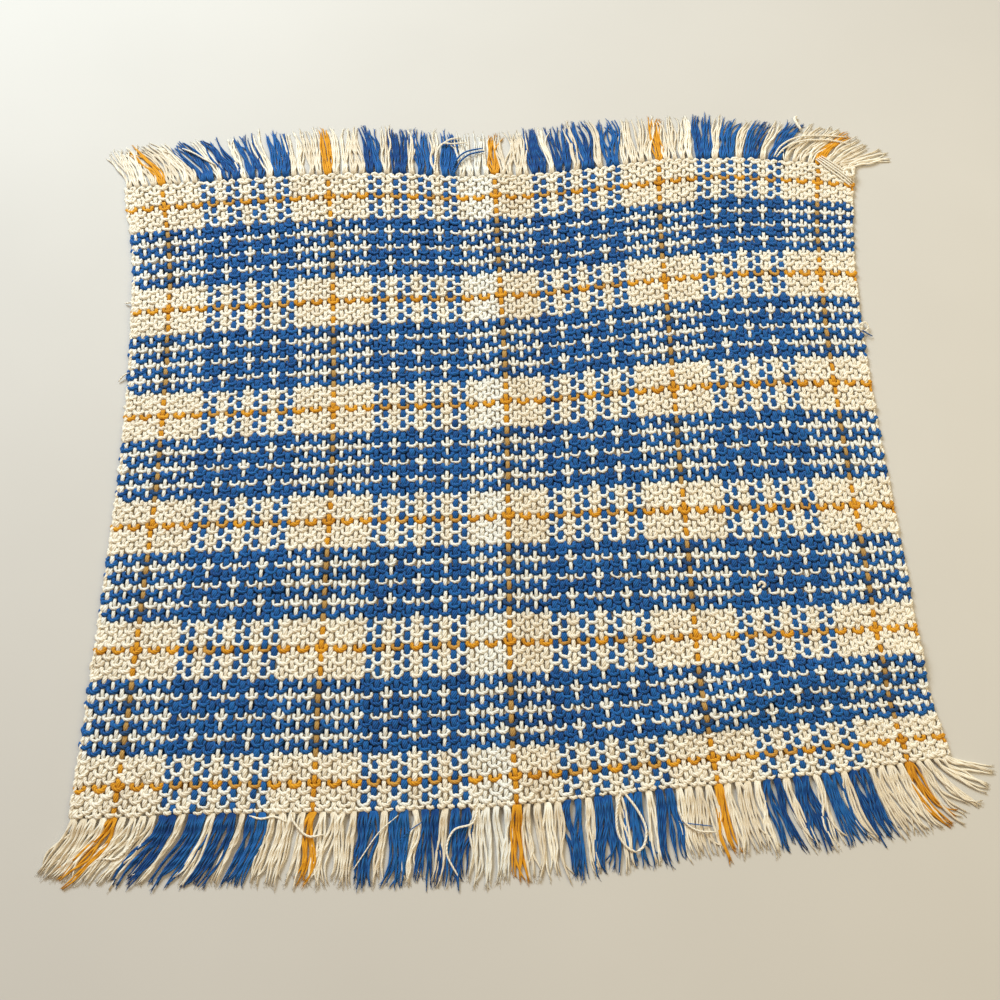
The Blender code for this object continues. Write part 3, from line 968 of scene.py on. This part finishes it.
def make_strays(pieces):
    """The single yarns, by colour, a little thinner at both ends."""
    for number, colour in enumerate(COLOURS):
        chance = np.random.default_rng((STRAY_SEED, number))
        yarns = Yarns()
        own = [stray for stray in STRAYS if stray.letter == colour.letter]
        for stray in own:
            points = np.array(stray.points) * MM
            points[:, :2] += SHIFT
            at = np.linspace(0, len(points) - 1, STRAY_RINGS_PER_POINT * len(points))
            path = smooth(np.arange(len(points)), points, at)[None]
            ends = np.minimum(1.0, STRAY_END + np.minimum(at, at[::-1]))
            radius = stray.radius * MM * ends[None]
            shade = chance.uniform(STRAY_DARKEST, STRAY_LIGHTEST)
            yarns.add(path, radius, radius, ROUND_YARN, shade)
        if own:
            pieces.append(yarns.build(f"stray_yarns_{colour.name}", MATERIALS[colour.letter]))


# The ground of the crocheted mesh below the yarns, its plaid darkened as painted shade between them
GROUND_COLUMN_STEPS = 70
GROUND_ROW_STEPS = 60
GROUND_LOW = 0.3 * MM
GROUND_HIGH = 1.8 * MM
STITCH_RISE = 0.25
GROUND_PAINTED_SHADE_COLOURS = {"g": (0.26, 0.12, 0.02, 1), "c": (0.64, 0.55, 0.42, 1), "b": (0.003, 0.028, 0.10, 1)}
GROUND_FIBRE_SCALE = 900.0
GROUND_FIBRE_DETAIL = 2.0
GROUND_RELIEF = 0.8
GROUND_RELIEF_HEIGHT = 1.0 * MM
GROUND_FINISH = {"Roughness": 0.95, "Specular IOR Level": 0.2}


def plaid_bands(nodes, number, start):
    """The repeat's colours, darkened as painted shade, in bands along columns or rows, whose number is
    given.
    """
    ramp = nodes.add("ShaderNodeValToRGB")
    ramp.color_ramp.interpolation = "CONSTANT"
    stops = ramp.color_ramp.elements
    changes = [i for i, letter in enumerate(REPEAT) if i == 0 or REPEAT[i - 1] != letter]
    while len(stops) < len(changes):
        stops.new(1.0)
    for stop, i in zip(stops, changes):
        stop.position = i / len(REPEAT)
        stop.color = GROUND_PAINTED_SHADE_COLOURS[REPEAT[i]]
    repeats = nodes.math("DIVIDE", nodes.math("ADD", number, start), len(REPEAT))
    nodes.put(ramp.inputs[0], nodes.math("FRACT", repeats))
    return ramp.outputs[0]


def knots_of(nodes, number):
    """A wave that rises once in each column or row."""
    return nodes.math("COSINE", nodes.math("MULTIPLY", number, 2 * math.pi))


def ground_material():
    """The mesh seen between the yarns and from below: the plaid, darker as painted shade, with a knotty
    relief.
    """
    nodes = Nodes("ground_mesh")
    column = nodes.attribute("column")
    row = nodes.attribute("row")
    in_columns = plaid_bands(nodes, column, HALF_PITCH + len(REPEAT))
    in_rows = plaid_bands(nodes, row, HALF_PITCH + len(REPEAT) + STITCH_RISE)
    cell = nodes.math("ADD", nodes.math("ROUND", column), nodes.math("ROUND", row))
    odd = nodes.math("ABSOLUTE", nodes.math("MODULO", cell, 2.0))
    shown = nodes.math("MAXIMUM", odd, nodes.attribute("upper"))
    nodes.put(nodes.shader.inputs["Base Color"], nodes.mix(shown, in_columns, in_rows))
    lumps = nodes.math("MULTIPLY", knots_of(nodes, column), knots_of(nodes, row))
    fibre = nodes.noise(GROUND_FIBRE_SCALE, GROUND_FIBRE_DETAIL)
    nodes.bump(nodes.math("ADD", lumps, fibre), GROUND_RELIEF, GROUND_RELIEF_HEIGHT)
    nodes.finish(GROUND_FINISH)
    return nodes.material


def ground_faces(across, down):
    """Faces of a closed sheet whose upper and lower layers have that many points each way."""
    count = across * down
    i, j = np.indices((down - 1, across - 1))
    corner = i * across + j
    upper = np.stack((corner, corner + across, corner + across + 1, corner + 1), axis=-1).reshape(-1, 4)
    rim = list(range(across))
    rim += [k * across + across - 1 for k in range(1, down)]
    rim += [(down - 1) * across + k for k in range(across - 2, -1, -1)]
    rim += [k * across for k in range(down - 2, 0, -1)]
    sides = [(a, b, b + count, a + count) for a, b in zip(rim, rim[1:] + rim[:1])]
    return upper.tolist() + (upper[:, ::-1] + count).tolist() + sides


def make_ground():
    """A thin closed sheet on the solid's folds, with its column and row at every point."""
    columns = np.linspace(LEFT_EDGE, RIGHT_EDGE, GROUND_COLUMN_STEPS + 1)
    rows = np.linspace(FAR_HEM, NEAR_HEM, GROUND_ROW_STEPS + 1)
    row_at, column_at = np.meshgrid(rows, columns, indexing="ij")
    top = lay(column_at, row_at, GROUND_HIGH).reshape(-1, 3)
    bottom = lay(column_at, row_at, GROUND_LOW).reshape(-1, 3)
    mesh = bpy.data.meshes.new("ground_mesh")
    points = np.concatenate((top, bottom)).tolist()
    mesh.from_pydata(points, [], ground_faces(len(columns), len(rows)))
    upper = np.repeat((1.0, 0.0), len(top))
    layers = {"column": np.tile(column_at.ravel(), 2), "row": np.tile(row_at.ravel(), 2), "upper": upper}
    for layer, values in layers.items():
        attribute = mesh.attributes.new(layer, "FLOAT", "POINT")
        attribute.data.foreach_set("value", values.astype(np.float32))
    mesh.shade_smooth()
    mesh.materials.append(ground_material())
    piece = bpy.data.objects.new("ground_mesh", mesh)
    bpy.context.scene.collection.objects.link(piece)
    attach(piece, "root")
    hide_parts("cloth")
    return piece


FLOOR_SIZE = 60
FLOOR_HEIGHT = -0.2 * MM
FLOOR_SHADES = ((0.56, 0.545, 0.52, 1), (0.61, 0.595, 0.57, 1))
FLOOR_CLOUD_SCALE = 3.0
FLOOR_CLOUD_DETAIL = 3.0
FLOOR_FINISH = {"Roughness": 0.7}


def make_stage():
    """A plain pale floor under the throw."""
    bpy.ops.mesh.primitive_plane_add(size=FLOOR_SIZE, location=(0, 0, FLOOR_HEIGHT))
    floor = bpy.context.object
    floor.name = "floor"
    nodes = Nodes("pale_floor")
    cloud = nodes.noise(FLOOR_CLOUD_SCALE, FLOOR_CLOUD_DETAIL)
    nodes.put(nodes.shader.inputs["Base Color"], nodes.mix(cloud, *FLOOR_SHADES))
    nodes.finish(FLOOR_FINISH)
    floor.data.materials.append(nodes.material)


# Cool soft light from beyond the far left corner, a warm fill from the right, and warm
# light all round: places and sizes in metres, energies in watts
Light = namedtuple("Light", "name location target size energy colour")
LIGHTS = (
    Light("key", (-1.7, 2.7, 2.5), (0.0, 0.0, 0.0), 1.8, 180, (0.81, 0.93, 1.0)),
    Light("fill", (1.2, 0.0, 1.9), (0.2, 0.0, 0.0), 1.6, 18, (1.0, 0.88, 0.55)),
)
ROUND_LIGHT_COLOUR = (1.0, 0.78, 0.55, 1.0)
ROUND_LIGHT_STRENGTH = 0.43


def add_light(light):
    """A square soft light that faces a point."""
    lamp = bpy.data.lights.new(light.name, "AREA")
    lamp.size = light.size
    lamp.energy = light.energy
    lamp.color = light.colour
    item = bpy.data.objects.new(light.name, lamp)
    item.location = light.location
    direction = np.array(light.target) - np.array(light.location)
    level = math.hypot(direction[0], direction[1])
    item.rotation_euler = (math.atan2(level, -direction[2]), 0, math.atan2(-direction[0], direction[1]))
    bpy.context.scene.collection.objects.link(item)


def make_lights():
    """The lights, and the even light all round."""
    for light in LIGHTS:
        add_light(light)
    world = bpy.data.worlds.new("studio")
    world.use_nodes = True
    background = world.node_tree.nodes["Background"]
    background.inputs["Color"].default_value = ROUND_LIGHT_COLOUR
    background.inputs["Strength"].default_value = ROUND_LIGHT_STRENGTH
    bpy.context.scene.world = world


# The camera at the photograph's viewing angle, in the cloth's own coordinates
CAMERA_PLACE = (-51.9 * MM, -543.5 * MM, 1337.8 * MM)
CAMERA_TURN = (19.78, -1.19, -1.45)
CAMERA_LENS = 36.0
CAMERA_SENSOR = 36.0
CAMERA_CLIP_START = 0.01


def make_camera():
    """The camera, at the photograph's viewing angle."""
    camera = bpy.data.cameras.new("camera")
    camera.lens = CAMERA_LENS
    camera.sensor_width = CAMERA_SENSOR
    camera.clip_start = CAMERA_CLIP_START
    item = bpy.data.objects.new("camera", camera)
    x, y, z = CAMERA_PLACE
    item.location = (x + SHIFT[0], y + SHIFT[1], z)
    item.rotation_euler = [math.radians(turn) for turn in CAMERA_TURN]
    bpy.context.scene.collection.objects.link(item)
    bpy.context.scene.camera = item
    bpy.context.scene.view_settings.view_transform = "Standard"


make_stage()
make_lights()
make_camera()
yarn_pieces = []
make_body(yarn_pieces)
make_edges(yarn_pieces)
make_strays(yarn_pieces)
make_fringe("far_fringe", "fringe_far", FAR_HEM, 1, FAR_LEAN, FAR_FRINGE_SEED, yarn_pieces)
make_fringe("near_fringe", "fringe_near", NEAR_HEM, -1, NEAR_LEAN, NEAR_FRINGE_SEED, yarn_pieces)
ground = make_ground()
